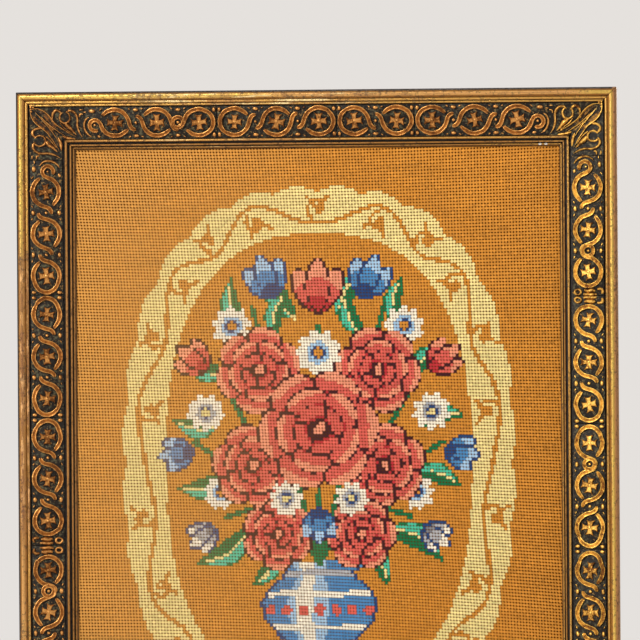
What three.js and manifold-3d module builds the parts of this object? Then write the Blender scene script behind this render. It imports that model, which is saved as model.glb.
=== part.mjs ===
// A needlepoint picture in a gilded wooden frame with moulded ornament.
// Millimetres, +Z up. The picture hangs upright and faces -Y, with its back in the plane y = 0.
// The origin is on the flat back of the top rail, half way along it and half way up that face.

import * as THREE from 'three';
import * as BufferGeometryUtils from 'three/addons/utils/BufferGeometryUtils.js';
import Module from 'manifold-3d';

const wasm = await Module();
wasm.setup();

// ---------------------------------------------------------------- driving dimensions

const OUTER_WIDTH = 403;
const OUTER_HEIGHT = 500;
const GAP = 0.3;                    // between neighbouring pieces
const SINK = 0.4;                   // how far a raised shape starts inside the plate that it is joined to

const rail = {
  width: 38.6,                      // from the outer edge to the sight edge
  backWidth: 31,                    // the flat back, outside the rabbet
  rabbetDepth: 7.2,                 // from the back to the underside of the lip
  lipEdge: 8.2,                     // height of the sight edge above the back
  shoulder: 20.2,                   // height of the flat outer side
  arcSegments: 3,                   // for a quarter of each bead's round
};

// Round mouldings of a rail: distance in from the outer edge, height of the centre, radius.
const bead = {
  torus: { at: 3.3, height: 21.4, radius: 2.6 },
  fillet: { at: 6.9, height: 20.3, radius: 1.0 },
  secondFillet: { at: 9.0, height: 19.2, radius: 0.7 },
  innerFirst: { at: 32.8, height: 13.8, radius: 0.8 },
  innerSecond: { at: 35.6, height: 11.4, radius: 0.6 },
  innerThird: { at: 37.3, height: 9.2, radius: 0.6 },
};

// Bottoms of the grooves between the inner mouldings: start, end and height.
const groove = {
  afterFillet: { from: 7.9, to: 8.3, height: 18.6 },
  afterInnerFirst: { from: 33.8, to: 34.8, height: 10.9 },
  afterInnerSecond: { from: 36.3, to: 36.6, height: 9.0 },
};

// The band that carries the ornament slopes down towards the picture.
const band = { outer: 8.2, inner: 32.0, outerHeight: 17.9, innerHeight: 12.3 };

const ornament = {
  width: 21.4,
  plate: 1.3,                       // thickness of the ground
  relief: 1.7,                      // height of the rounds above the ground
  roundRadius: 10.4,
  strand: 3.4,
  roundSides: 12,
  crossRadius: 5.4,
  crossWaist: 0.9,                  // half the width of an arm where it leaves the middle
  crossFlare: 2.6,                  // half the width of an arm at its end
  pitchAcross: 28.4,                // between the rounds of one strip, top and bottom rails
  pitchUpright: 28.2,               // the same on the side rails
  acrossTop: 21.0,                  // middle of the strips on the top and bottom rails
  acrossSide: 19.6,                 // middle of the strips on the side rails
};

const corner = {
  reach: 45.7,                      // from the outer corner along each rail
  leafWidth: 11,
  leafHeight: 2.6,
  voluteRadius: 6.2,
  voluteStrand: 2.4,
  voluteAlong: 34,
  voluteOutward: 3.2,               // from the middle of the strips towards the outer edge
};

const cloth = { thickness: 2.0 };

// Each rail: its turn about the picture's middle, and its strips in order from the left or the top.
// joints are the distances between the rounds on both sides of each joint between strips.
// sense is -1 where that order runs against the rail's own X.
const acrossRounds = [3, 3, 2, 3];
const uprightRounds = [3, 3, 3, 3, 2];
const rails = [
  { name: 'top', turn: 0, sense: 1, rounds: acrossRounds, joints: [23.8, 23.8, 23.8] },
  { name: 'right', turn: 1, sense: 1, rounds: uprightRounds, joints: [32.0, 25.8, 28.7, 25.9] },
  { name: 'bottom', turn: 2, sense: -1, rounds: acrossRounds, joints: [23.8, 23.8, 23.8] },
  { name: 'left', turn: 3, sense: -1, rounds: uprightRounds, joints: [26.0, 25.8, 33.2, 27.4] },
];

// ---------------------------------------------------------------- materials

const gilding = new THREE.MeshStandardMaterial({ color: 0xb98a3c, roughness: 0.42, metalness: 0.75 });
const composition = new THREE.MeshStandardMaterial({ color: 0x8a6230, roughness: 0.5, metalness: 0.6 });
const wool = new THREE.MeshStandardMaterial({ color: 0xc98a3a, roughness: 0.95, metalness: 0 });

// ---------------------------------------------------------------- joining

function toSolid(geometry) {
  const bare = geometry.clone();
  bare.deleteAttribute('normal');
  bare.deleteAttribute('uv');
  const merged = BufferGeometryUtils.mergeVertices(bare, 1e-4);
  return new wasm.Manifold(new wasm.Mesh({
    numProp: 3,
    vertProperties: new Float32Array(merged.attributes.position.array),
    triVerts: new Uint32Array(merged.index.array),
  }));
}

function joined(geometries) {
  const mesh = geometries.map(toSolid).reduce((all, next) => all.add(next)).getMesh();
  const geometry = new THREE.BufferGeometry();
  geometry.setAttribute('position', new THREE.BufferAttribute(mesh.vertProperties, 3));
  geometry.setIndex(new THREE.BufferAttribute(mesh.triVerts, 1));
  return geometry;
}

// ---------------------------------------------------------------- rails

// Draws a round moulding and the straight sides that run down from it.
function addBead(section, { at, height, radius }) {
  section.lineTo(at - radius, height);
  section.absarc(at, height, radius, Math.PI, 0, true);
}

function addGroove(section, { from, to, height }) {
  section.lineTo(from, height);
  section.lineTo(to, height);
}

function bandHeight(across) {
  const share = (across - band.outer) / (band.inner - band.outer);
  return THREE.MathUtils.lerp(band.outerHeight, band.innerHeight, share);
}

// Section of a rail: x is the distance in from the outer edge, y the height above the back.
function railSection(hasSecondFillet) {
  const section = new THREE.Shape();
  section.moveTo(0, 0);
  section.lineTo(0, rail.shoulder);
  addBead(section, bead.torus);
  addBead(section, bead.fillet);
  let bandStart = band.outer;
  if (hasSecondFillet) {
    addGroove(section, groove.afterFillet);
    addBead(section, bead.secondFillet);
    bandStart = bead.secondFillet.at + bead.secondFillet.radius;
  }
  section.lineTo(bandStart, bandHeight(bandStart));
  section.lineTo(band.inner, band.innerHeight);
  addBead(section, bead.innerFirst);
  addGroove(section, groove.afterInnerFirst);
  addBead(section, bead.innerSecond);
  addGroove(section, groove.afterInnerSecond);
  addBead(section, bead.innerThird);
  section.lineTo(rail.width, rail.lipEdge);
  section.lineTo(rail.width, rail.rabbetDepth);
  section.lineTo(rail.backWidth, rail.rabbetDepth);
  section.lineTo(rail.backWidth, 0);
  section.closePath();
  return section;
}

// A rail of the given length, mitred at both ends. It lies along X, its outer edge at z = 0.
function railGeometry(length, hasSecondFillet) {
  const geometry = new THREE.ExtrudeGeometry(railSection(hasSecondFillet), {
    depth: 1,
    bevelEnabled: false,
    curveSegments: rail.arcSegments,
  });
  const position = geometry.attributes.position;
  const mitreGap = GAP / Math.SQRT2;
  for (let i = 0; i < position.count; i += 1) {
    const inward = position.getX(i);
    const height = position.getY(i);
    const end = position.getZ(i) < 0.5 ? 1 : -1;
    position.setXYZ(i, end * (length / 2 - inward - mitreGap), -height, -inward);
  }
  return geometry;
}

// ---------------------------------------------------------------- ornament

// A flat shape with x across the rail and y along it, from one height above the band to another.
function raised(shape, from, to) {
  const geometry = new THREE.ExtrudeGeometry(shape, { depth: to - from, bevelEnabled: false });
  return geometry.translate(0, 0, from);
}

// Lays such a piece on the sloping band. At a corner the band turns along the mitre.
function seatOnBand(geometry, atCorner) {
  const position = geometry.attributes.position;
  for (let i = 0; i < position.count; i += 1) {
    const across = position.getX(i);
    const along = position.getY(i);
    const inward = atCorner ? Math.min(across, along) : across;
    const height = bandHeight(inward) + GAP + position.getZ(i);
    position.setXYZ(i, along, -height, -across);
  }
  return geometry;
}

function ring(across, along, radius, strand, sides) {
  const shape = new THREE.Shape(regularOutline(across, along, radius, sides));
  shape.holes.push(new THREE.Path(regularOutline(across, along, radius - strand, sides)));
  return shape;
}

function regularOutline(across, along, radius, sides) {
  return Array.from({ length: sides }, (_, i) => {
    const angle = ((i + 0.5) / sides) * 2 * Math.PI;
    return new THREE.Vector2(across + radius * Math.cos(angle), along + radius * Math.sin(angle));
  });
}

function polygon(points) {
  return new THREE.Shape(points.map(([across, along]) => new THREE.Vector2(across, along)));
}

// A cross whose four arms widen towards their ends.
function crossShape(across, along) {
  const { crossRadius: reach, crossWaist: waist, crossFlare: flare } = ornament;
  const points = [];
  for (let arm = 0; arm < 4; arm += 1) {
    const turn = new THREE.Vector2(Math.cos((arm * Math.PI) / 2), Math.sin((arm * Math.PI) / 2));
    for (const [out, side] of [[waist, -waist], [reach, -flare], [reach, flare]]) {
      points.push([across + turn.x * out - turn.y * side, along + turn.y * out + turn.x * side]);
    }
  }
  return polygon(points);
}

function rectangle(acrossMiddle, alongMiddle, width, length) {
  const [w, l] = [width / 2, length / 2];
  const corners = [[-w, -l], [w, -l], [w, l], [-w, l]];
  return polygon(corners.map(([a, b]) => [acrossMiddle + a, alongMiddle + b]));
}

// One moulded strip: a plate, its rounds with their crosses, and the strands between the rounds.
function stripGeometry(across, { from, to, places }, sense) {
  const top = ornament.plate + ornament.relief;
  const foot = ornament.plate - SINK;
  const middle = (from + to) / 2;
  const rounds = places.map((place) => sense * (place - middle));
  const pieces = [raised(rectangle(across, 0, ornament.width, to - from), 0, ornament.plate)];
  rounds.forEach((along, i) => {
    const round = ring(across, along, ornament.roundRadius, ornament.strand, ornament.roundSides);
    pieces.push(raised(round, foot, top));
    pieces.push(raised(crossShape(across, along), foot, top));
    if (i > 0) {
      const space = Math.abs(along - rounds[i - 1]) - 2 * ornament.roundRadius;
      const link = rectangle(across, (along + rounds[i - 1]) / 2, ornament.strand,
        space + ornament.strand);
      pieces.push(raised(link, foot, top - SINK));
    }
  });
  return joined(pieces.map((piece) => seatOnBand(piece, false)));
}

// Distances of the rounds from the rail's first end, and where the strips begin and end.
function layOut({ rounds, joints }, length, pitch) {
  const between = rounds.reduce((sum, count) => sum + (count - 1) * pitch, 0);
  let distance = (length - between - joints.reduce((sum, joint) => sum + joint, 0)) / 2;
  let start = corner.reach;
  return rounds.map((count, i) => {
    const places = Array.from({ length: count }, (_, k) => distance + k * pitch);
    const last = places[count - 1];
    const end = i < joints.length ? last + joints[i] / 2 : length - corner.reach;
    const strip = { places, from: start + GAP / 2, to: end - GAP / 2 };
    distance = last + (joints[i] ?? 0);
    start = end;
    return strip;
  });
}

// ---------------------------------------------------------------- corner ornaments

// Leaf on the mitre, from the outer corner to the inner one: a long low pyramid.
function leafGeometry(from, to) {
  const middle = (from + to) / 2;
  const halfLength = ((to - from) / 2) * Math.SQRT2;
  const foot = ornament.plate - SINK;
  const rise = corner.leafHeight + SINK;
  return new THREE.ConeGeometry(1, 1, 4)
    .rotateX(Math.PI / 2)
    .scale(halfLength, corner.leafWidth / 2, rise)
    .rotateZ(Math.PI / 4)
    .translate(middle, middle, foot + rise / 2);
}

// One arm of the corner plate, cut along the mitre, beside an arm that may start further in.
function armShape(across, acrossOther, swap) {
  const near = across - ornament.width / 2;
  const far = across + ornament.width / 2;
  const start = Math.max(near, acrossOther - ornament.width / 2);
  const reach = corner.reach - GAP / 2;
  const points = [[start, start], [far, far], [far, reach], [near, reach]];
  if (start > near) points.push([near, start]);
  return polygon(swap ? points.map(([a, b]) => [b, a]).reverse() : points);
}

// Corner ornament, its outer corner at the origin: one arm runs along X, the other down Z.
function cornerGeometry(acrossOnX, acrossOnZ) {
  const top = ornament.plate + ornament.relief;
  const foot = ornament.plate - SINK;
  const middle = (acrossOnX + acrossOnZ) / 2;
  const halfLeaf = ornament.width / 2 - 1;
  const volutes = [
    [acrossOnX - corner.voluteOutward, corner.voluteAlong],
    [corner.voluteAlong, acrossOnZ - corner.voluteOutward],
  ];
  const pieces = [
    raised(armShape(acrossOnX, acrossOnZ, false), 0, ornament.plate),
    raised(armShape(acrossOnZ, acrossOnX, true), 0, ornament.plate),
    leafGeometry(middle - halfLeaf, middle + halfLeaf),
    ...volutes.map(([across, along]) => raised(
      ring(across, along, corner.voluteRadius, corner.voluteStrand, ornament.roundSides), foot, top)),
  ];
  return joined(pieces.map((piece) => seatOnBand(piece, true)));
}

// ---------------------------------------------------------------- assembly

const halfWidth = OUTER_WIDTH / 2;
const halfHeight = OUTER_HEIGHT / 2;

const picture = new THREE.Group();
picture.position.z = -(halfHeight - rail.backWidth / 2);

function addMesh(parent, name, geometry, material) {
  const mesh = new THREE.Mesh(geometry, material);
  mesh.name = name;
  parent.add(mesh);
  return mesh;
}

for (const side of rails) {
  const isAcross = side.turn % 2 === 0;
  const length = isAcross ? OUTER_WIDTH : OUTER_HEIGHT;
  const group = new THREE.Group();
  group.rotation.y = (side.turn * Math.PI) / 2;
  picture.add(group);

  const outerEdge = isAcross ? halfHeight : halfWidth;
  const body = addMesh(group, `rail_${side.name}`, railGeometry(length, isAcross), gilding);
  body.position.z = outerEdge;

  const across = isAcross ? ornament.acrossTop : ornament.acrossSide;
  const pitch = isAcross ? ornament.pitchAcross : ornament.pitchUpright;
  layOut(side, length, pitch).forEach((layout, i) => {
    const middle = (layout.from + layout.to) / 2;
    const strip = addMesh(group, `strip_${side.name}_${i + 1}`,
      stripGeometry(across, layout, side.sense), composition);
    strip.position.set(side.sense * (middle - length / 2), 0, outerEdge);
  });
}

const corners = [
  { name: 'top_left', x: -halfWidth, z: halfHeight, turn: 0 },
  { name: 'top_right', x: halfWidth, z: halfHeight, turn: 1 },
  { name: 'bottom_right', x: halfWidth, z: -halfHeight, turn: 2 },
  { name: 'bottom_left', x: -halfWidth, z: -halfHeight, turn: 3 },
];
for (const { name, x, z, turn } of corners) {
  const [onX, onZ] = turn % 2 === 0
    ? [ornament.acrossTop, ornament.acrossSide]
    : [ornament.acrossSide, ornament.acrossTop];
  const piece = addMesh(picture, `corner_${name}`, cornerGeometry(onX, onZ), composition);
  piece.position.set(x, 0, z);
  piece.rotation.y = (turn * Math.PI) / 2;
}

const clothInset = 2 * (rail.backWidth + GAP);
const needlepoint = addMesh(
  picture,
  'needlepoint',
  new THREE.BoxGeometry(OUTER_WIDTH - clothInset, cloth.thickness, OUTER_HEIGHT - clothInset),
  wool,
);
needlepoint.position.y = -(rail.rabbetDepth - GAP - cloth.thickness / 2);

export default picture;
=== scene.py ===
"""A needlepoint picture in a gilded frame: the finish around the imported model.

Lengths in the tables are millimetres. A rail or strip is shaped in its own frame, with x along the
rail, y towards its outer edge and z up from its back, and then turned into its place in metres.
"""

import math

import bpy
import numpy as np
from mathutils import Matrix, Vector, noise


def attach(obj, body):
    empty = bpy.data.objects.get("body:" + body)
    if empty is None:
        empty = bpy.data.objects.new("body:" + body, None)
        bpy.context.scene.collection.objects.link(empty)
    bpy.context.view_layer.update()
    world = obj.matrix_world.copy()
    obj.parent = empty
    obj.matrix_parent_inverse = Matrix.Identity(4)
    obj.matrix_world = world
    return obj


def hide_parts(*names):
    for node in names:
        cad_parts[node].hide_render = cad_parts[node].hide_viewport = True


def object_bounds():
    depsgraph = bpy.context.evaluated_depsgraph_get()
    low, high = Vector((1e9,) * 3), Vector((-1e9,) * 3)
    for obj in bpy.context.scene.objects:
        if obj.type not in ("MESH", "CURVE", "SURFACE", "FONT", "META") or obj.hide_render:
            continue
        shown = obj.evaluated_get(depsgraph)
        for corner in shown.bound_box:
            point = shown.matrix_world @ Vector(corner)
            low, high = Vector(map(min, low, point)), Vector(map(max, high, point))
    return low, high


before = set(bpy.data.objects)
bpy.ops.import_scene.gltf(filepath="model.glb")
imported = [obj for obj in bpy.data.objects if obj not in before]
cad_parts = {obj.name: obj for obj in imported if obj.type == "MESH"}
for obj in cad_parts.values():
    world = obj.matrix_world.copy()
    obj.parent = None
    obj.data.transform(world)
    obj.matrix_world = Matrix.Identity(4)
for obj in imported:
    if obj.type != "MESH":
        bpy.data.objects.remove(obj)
cad_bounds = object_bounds()

MM = 0.001

# ------------------------------------------------------------------ sizes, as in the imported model

LOWEST, HIGHEST = (Vector(corner) / MM for corner in cad_bounds)
OUTER_WIDTH = HIGHEST.x - LOWEST.x
OUTER_HEIGHT = HIGHEST.z - LOWEST.z
MIDDLE_Z = (HIGHEST.z + LOWEST.z) / 2

GAP = 0.3
RAIL_WIDTH = 38.6
BACK_WIDTH = 31.0
RABBET_DEPTH = 7.2
LIP_EDGE = 8.2
SHOULDER = 20.2

# Round mouldings: distance in from the outer edge, height of the centre, radius, arc steps.
TORUS = (3.3, 21.4, 2.6, 16)
FILLET = (6.9, 20.6, 1.0, 8)
SECOND_FILLET = (8.85, 19.4, 0.8, 8)
INNER_BEADS = ((32.8, 13.8, 0.8, 8), (35.6, 11.4, 0.6, 8), (37.3, 9.2, 0.6, 8))
# How golden each inner bead is: on its crown, its outer side and its inner side.
# The crowns' share is partly a painted highlight, and the sides' share is partly painted shade.
BEAD_GOLD = ((0.8, 0.1, 0.15), (0.55, 0.2, 0.2), (0.7, 0.25, 0.25))

# Low points between them: distance in from the outer edge, height, share of gold.
# In the grooves the low share is patina and partly painted shade.
TORUS_GROOVE = (5.95, 21.1, 0.45)
FILLET_GROOVE = (8.0, 19.2, 0.3)
BEAD_GROOVES = (((33.8, 10.9, 0), (34.8, 10.9, 0)), ((36.3, 9.0, 0), (36.6, 9.0, 0)))

# The band that carries the ornament slopes down towards the picture.
BAND_OUTER = 8.2
BAND_OUTER_HEIGHT = 17.9
BAND_INNER = 32.0
BAND_INNER_HEIGHT = 12.3
BAND_SLOPE = (BAND_OUTER_HEIGHT - BAND_INNER_HEIGHT) / (BAND_INNER - BAND_OUTER)

PLATE_WIDTH = 21.4
PLATE_THICKNESS = 1.3
CAST_UNEVENNESS = 0.22
CAST_LUMP = 3.5
CAST_SEED = 7
ACROSS_TOP = 21.0
ACROSS_SIDE = 19.6
PITCH_ACROSS = 28.4
PITCH_UPRIGHT = 28.2
CORNER_REACH = 45.7
WIDE_JOINT = 30.0

# Each rail: quarter turns about the picture's middle, which way its strips run, the rounds of each
# strip from the left or the top, the distances over each joint, and the hand each strip starts with.
RAILS = {
    "top": (0, 1, (3, 3, 2, 3), (23.8, 23.8, 23.8), (-1, 1, -1, 1)),
    "right": (1, 1, (3, 3, 3, 3, 2), (32.0, 25.8, 28.7, 25.9), (-1, 1, 1, 1, 1)),
    "bottom": (2, -1, (3, 3, 2, 3), (23.8, 23.8, 23.8), (1, -1, 1, -1)),
    "left": (3, -1, (3, 3, 3, 3, 2), (26.0, 25.8, 33.2, 27.4), (1, 1, 1, -1, -1)),
}
# Where a small loop takes the place of the pellet, and the hand changes: the strip and its gap.
LOOPED_GAPS = {"ornament_top_1": 1, "ornament_right_1": 1, "ornament_right_3": 0, "ornament_left_4": 1}
CORNERS = {"top_left": 0, "top_right": 1, "bottom_right": 2, "bottom_left": 3}

CLOTH_WIDTH = 340.4
CLOTH_HEIGHT = 437.4
CLOTH_FRONT = 6.9
CLOTH_THICKNESS = 2.0


# ------------------------------------------------------------------ modelling helpers

def deselect():
    bpy.ops.object.select_all(action="DESELECT")


def pick(*objects):
    """Selects these alone. The first is the active one."""
    deselect()
    for each in objects:
        each.select_set(True)
    bpy.context.view_layer.objects.active = objects[0]


def edit(thing, *steps):
    """Runs edit-mode steps on the whole mesh."""
    pick(thing)
    bpy.ops.object.mode_set(mode="EDIT")
    bpy.ops.mesh.select_mode(type="VERT")
    bpy.ops.mesh.select_all(action="SELECT")
    for step in steps:
        step()
    bpy.ops.object.mode_set(mode="OBJECT")
    return thing


def outward():
    """Turns all faces outwards. A step of edit()."""
    bpy.ops.mesh.select_all(action="SELECT")
    bpy.ops.mesh.normals_make_consistent(inside=False)
    bpy.ops.mesh.select_all(action="DESELECT")


def started(name, primitive, **settings):
    """The primitive that a piece starts from, alone in the selection."""
    deselect()
    primitive(**settings)
    thing = bpy.context.object
    thing.name = name
    return thing


def placed(name, data):
    """A new object in the scene."""
    thing = bpy.data.objects.new(name, data)
    bpy.context.collection.objects.link(thing)
    return thing


def places(thing):
    found = np.empty(len(thing.data.vertices) * 3, np.float32)
    thing.data.vertices.foreach_get("co", found)
    return found.reshape(-1, 3).astype(np.float64)


def move_to(thing, points):
    thing.data.vertices.foreach_set("co", np.asarray(points, np.float32).ravel())
    thing.data.update()


def note(thing, name, values):
    """Stores one number for each vertex, for the material to read."""
    layer = thing.data.attributes.new(name, "FLOAT", "POINT")
    layer.data.foreach_set("value", np.asarray(values, np.float32))


def turned_copy(thing, matrix):
    copy = thing.copy()
    copy.data = thing.data.copy()
    copy.data.transform(matrix)
    if matrix.determinant() < 0:
        copy.data.flip_normals()
    bpy.context.collection.objects.link(copy)
    return copy


def joined(name, things):
    pick(*things)
    bpy.ops.object.join()
    whole = bpy.context.object
    whole.name = name
    whole.data.name = name
    return whole


def discard(*things):
    for thing in things:
        bpy.data.objects.remove(thing, do_unlink=True)


def finish(thing, node=None, material=None, smooth_angle=40):
    pick(thing)
    bpy.ops.object.shade_smooth_by_angle(angle=math.radians(smooth_angle))
    if material:
        thing.data.materials.append(material)
    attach(thing, "root")
    if node:
        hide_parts(node)
    return thing


def outline_plate(name, outline, height):
    """A plate with this outline, its faces pointing out, from z = 0 up to the height."""
    plate = started(name, bpy.ops.mesh.primitive_circle_add, vertices=len(outline), fill_type="NGON")
    move_to(plate, [(x, y, 0) for x, y in outline])
    rise = {"value": (0, 0, height)}
    return edit(plate, lambda: bpy.ops.mesh.extrude_region_move(TRANSFORM_OT_translate=rise), outward)


def swept(name, path, section):
    """A closed section carried along a smooth path of (x, y, scale) points.

    A fourth number lifts a point. A section's points are (across, up, how bright the gold is there:
    worn bright, and partly a painted highlight).
    """
    profile = bpy.data.curves.new(name + "_section", "CURVE")
    loop = profile.splines.new("POLY")
    loop.points.add(len(section) - 1)
    for point, (x, y, _) in zip(loop.points, section):
        point.co = (x, y, 0, 1)
    loop.use_cyclic_u = True
    profile_object = placed(name + "_section", profile)

    curve = bpy.data.curves.new(name, "CURVE")
    curve.dimensions = "3D"
    curve.twist_mode = "Z_UP"
    curve.bevel_mode = "OBJECT"
    curve.bevel_object = profile_object
    curve.use_fill_caps = True
    curve.resolution_u = 4
    spline = curve.splines.new("BEZIER")
    spline.bezier_points.add(len(path) - 1)
    for point, (x, y, scale, *lift) in zip(spline.bezier_points, path):
        point.co = (x, y, lift[0] if lift else 0)
        point.radius = scale
        point.handle_left_type = "AUTO"
        point.handle_right_type = "AUTO"
    pick(placed(name, curve))
    bpy.ops.object.convert(target="MESH")
    rope = bpy.context.object
    discard(profile_object)
    stations = len(rope.data.vertices) // len(section)
    note(rope, "rubbed", np.tile([rubbed for _, _, rubbed in section], stations))
    return edit(rope, lambda: bpy.ops.mesh.remove_doubles(threshold=1e-4), outward)


def pellet(name, place, radii, turn=0.0, segments=10, rings=6):
    """A low rounded drop, its lower half sunk in the ground."""
    drop = started(name, bpy.ops.mesh.primitive_uv_sphere_add, segments=segments, ring_count=rings, radius=1)
    # Its top is brighter: worn bright, and partly a painted highlight.
    note(drop, "rubbed", np.clip(places(drop)[:, 2], 0, 1))
    shape = Matrix.Translation(place) @ Matrix.Rotation(turn, 4, "Z") @ Matrix.Diagonal((*radii, 1))
    drop.data.transform(shape)
    return drop


# ------------------------------------------------------------------ placing

def rail_matrix(turn):
    """From a rail's own frame to the picture's."""
    half = (OUTER_HEIGHT if turn % 2 == 0 else OUTER_WIDTH) / 2
    return (
        Matrix.Translation((0, 0, MIDDLE_Z * MM))
        @ Matrix.Rotation(turn * math.pi / 2, 4, "Y")
        @ Matrix.Translation((0, 0, half * MM))
        @ Matrix.Rotation(math.pi / 2, 4, "X")
        @ Matrix.Scale(MM, 4)
    )


def corner_matrix(turn):
    """From a corner's own frame, its outer corner at the origin, to the picture's."""
    side = 1 if turn in (1, 2) else -1
    rise = 1 if turn in (0, 1) else -1
    place = Vector((side * OUTER_WIDTH / 2, 0, MIDDLE_Z + rise * OUTER_HEIGHT / 2))
    return (
        Matrix.Translation(place * MM)
        @ Matrix.Rotation(turn * math.pi / 2, 4, "Y")
        @ Matrix.Rotation(math.pi / 2, 4, "X")
        @ Matrix.Scale(MM, 4)
    )


def band_height(across):
    return BAND_OUTER_HEIGHT - BAND_SLOPE * (across - BAND_OUTER)


def seat(thing, across_of, matrix):
    """Lays a flat piece on the sloping band and puts it in its place."""
    points = places(thing)
    note(thing, "relief", points[:, 2])
    points[:, 2] += band_height(across_of(points)) + GAP + PLATE_THICKNESS
    move_to(thing, points)
    thing.data.transform(matrix)


# Vector noise takes its offsets from the clock until it has a seed.
noise.seed_set(CAST_SEED)


def cast(thing):
    """Makes a moulded piece a little uneven."""
    points = places(thing)
    for i, point in enumerate(points):
        points[i] += CAST_UNEVENNESS * np.array(noise.noise_vector(Vector(point) / CAST_LUMP))
    move_to(thing, points)


# ------------------------------------------------------------------ materials

def colour(red, green, blue):
    """A screen colour, 0 to 255, as the shader takes it."""
    def linear(part):
        part /= 255
        return part / 12.92 if part <= 0.04045 else ((part + 0.055) / 1.055) ** 2.4
    return (linear(red), linear(green), linear(blue), 1.0)


class Number:
    """A shader number. Python's operators on it add Math nodes."""

    def __init__(self, finish_of, socket):
        self.finish_of = finish_of
        self.socket = socket

    def _with(self, operation, first, second, clamp=False):
        settings = {"operation": operation, "use_clamp": clamp}
        return self.finish_of.number("ShaderNodeMath", settings, {0: first, 1: second})

    def __add__(self, other):
        return self._with("ADD", self, other)

    def __radd__(self, other):
        return self._with("ADD", other, self)

    def __sub__(self, other):
        return self._with("SUBTRACT", self, other)

    def __rsub__(self, other):
        return self._with("SUBTRACT", other, self)

    def __mul__(self, other):
        return self._with("MULTIPLY", self, other)

    def __rmul__(self, other):
        return self._with("MULTIPLY", other, self)

    def clamped(self):
        return self._with("ADD", self, 0.0, clamp=True)


class Finish:
    """One material. Its sockets take plain values, Numbers or links."""

    def __init__(self, name):
        self.material = bpy.data.materials.new(name)
        self.material.use_nodes = True
        self.nodes = self.material.node_tree.nodes
        self.links = self.material.node_tree.links
        self.surface = self.nodes["Principled BSDF"]

    def feed(self, socket, value):
        if isinstance(value, Number):
            value = value.socket
        if isinstance(value, bpy.types.NodeSocket):
            self.links.new(value, socket)
        else:
            socket.default_value = value

    def node(self, kind, settings, sockets, out=0):
        """A node of this type, with its settings made first and its sockets fed after them."""
        made = self.nodes.new(kind)
        for name, value in settings.items():
            setattr(made, name, value)
        for name, value in sockets.items():
            self.feed(made.inputs[name], value)
        return made.outputs[out]

    def number(self, *args, **kwargs):
        return Number(self, self.node(*args, **kwargs))

    def place(self):
        """The place on the object, in metres."""
        return self.node("ShaderNodeTexCoord", {}, {}, "Object")

    def here(self, turn=(0, 0, 0), scale=(1, 1, 1)):
        """The place on the object, turned and stretched."""
        sockets = {"Vector": self.place(), "Rotation": turn, "Scale": scale}
        return self.node("ShaderNodeMapping", {}, sockets)

    def noise(self, scale, detail=3.0, roughness=0.55, where=None):
        sockets = {"Vector": where or self.here(), "Scale": scale, "Detail": detail, "Roughness": roughness}
        return self.number("ShaderNodeTexNoise", {}, sockets)

    def bands(self, turn, scale):
        """Noise drawn out along one direction."""
        return self.noise(1.0, 3.0, 0.6, self.here(turn, scale))

    def attribute(self, name):
        return self.number("ShaderNodeAttribute", {"attribute_name": name}, {}, "Fac")

    def step(self, value, low, high):
        """0 below low, 1 above high, smooth between."""
        sockets = {"Value": value, "From Min": low, "From Max": high}
        return self.number("ShaderNodeMapRange", {"interpolation_type": "SMOOTHSTEP"}, sockets)

    def mix(self, share, first, second):
        """Two colours mixed. The Mix node's colour sockets are 6 and 7, and its colour output is 2."""
        return self.node("ShaderNodeMix", {"data_type": "RGBA"}, {0: share, 6: first, 7: second}, 2)

    def near(self, point, inner, outer):
        """1 within the inner distance of a place on the object, 0 beyond the outer one."""
        sockets = {0: self.place(), 1: point}
        away = self.number("ShaderNodeVectorMath", {"operation": "DISTANCE"}, sockets, "Value")
        return 1 - self.step(away, inner, outer)

    def axis(self, name):
        """One coordinate of the place on the object."""
        return self.number("ShaderNodeSeparateXYZ", {}, {0: self.place()}, name)

    def bump(self, height, distance):
        sockets = {"Height": height, "Distance": distance, "Strength": 1.0}
        self.feed(self.surface.inputs["Normal"], self.node("ShaderNodeBump", {}, sockets))

    def set(self, **values):
        for name, value in values.items():
            self.feed(self.surface.inputs[name.replace("_", " ")], value)


YELLOW_GOLD = colour(242, 200, 100)
ROSE_GOLD = colour(230, 172, 104)
HIGHLIGHT_PALE_GOLD = colour(255, 226, 160)
PALE_ROSE = colour(246, 188, 124)
FILLET_GOLD = colour(226, 174, 90)
BROWN_GOLD = colour(146, 98, 36)
WORN_BOLE = colour(140, 92, 58)
PATINA = colour(34, 22, 12)
GESSO = colour(240, 234, 222)
SIDE_BROWN = colour(150, 106, 56)
SIDE_TAN = colour(186, 138, 80)
# Painted shade for the right rail's outer flank.
FLANK_SHADE_BROWN = colour(164, 110, 54)

# Places on the gilding: the middle, in metres, and how far from it the full and the fading part reach.
# A patch on the top rail: partly more wear, and partly a painted highlight with pale streaks.
PALE_PATCH = ((-0.04, 0.0, 0.02), 0.045, 0.1)
# A painted highlight on a stretch of the top rail's torus: more shine and a yellower leaf.
HIGHLIGHT_STRETCH = ((-0.1, 0.0, 0.02), 0.04, 0.08)
RUBBED_STRETCH = ((-0.2, 0.0, -0.19), 0.08, 0.12)
# Yellower leaf near the upper left: partly the leaf's own colour, and partly painted light from the key lamp
# close by.
YELLOW_CORNER = ((-0.18, 0.0, 0.03), 0.09, 0.2)
LEFT_CHIP = ((0.150, -0.0096, -0.0218), 0.0008, 0.0012)
RIGHT_CHIP = ((0.154, -0.0096, -0.0218), 0.0008, 0.0012)

# Distances in from the outer edge where the fillets and the inner beads begin.
FILLETS_BEGIN = (5.6, 6.2)
INNER_BEADS_BEGIN = (31.0, 31.6)
# Metres to the right of the middle, from where the right rail is yellower, and from where its outer flank is
# brown painted shade, as it faces away from the key light.
YELLOW_RIGHT = (0.17, 0.19)
SHADED_RIGHT_FLANK = (0.1982, 0.1996)


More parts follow.
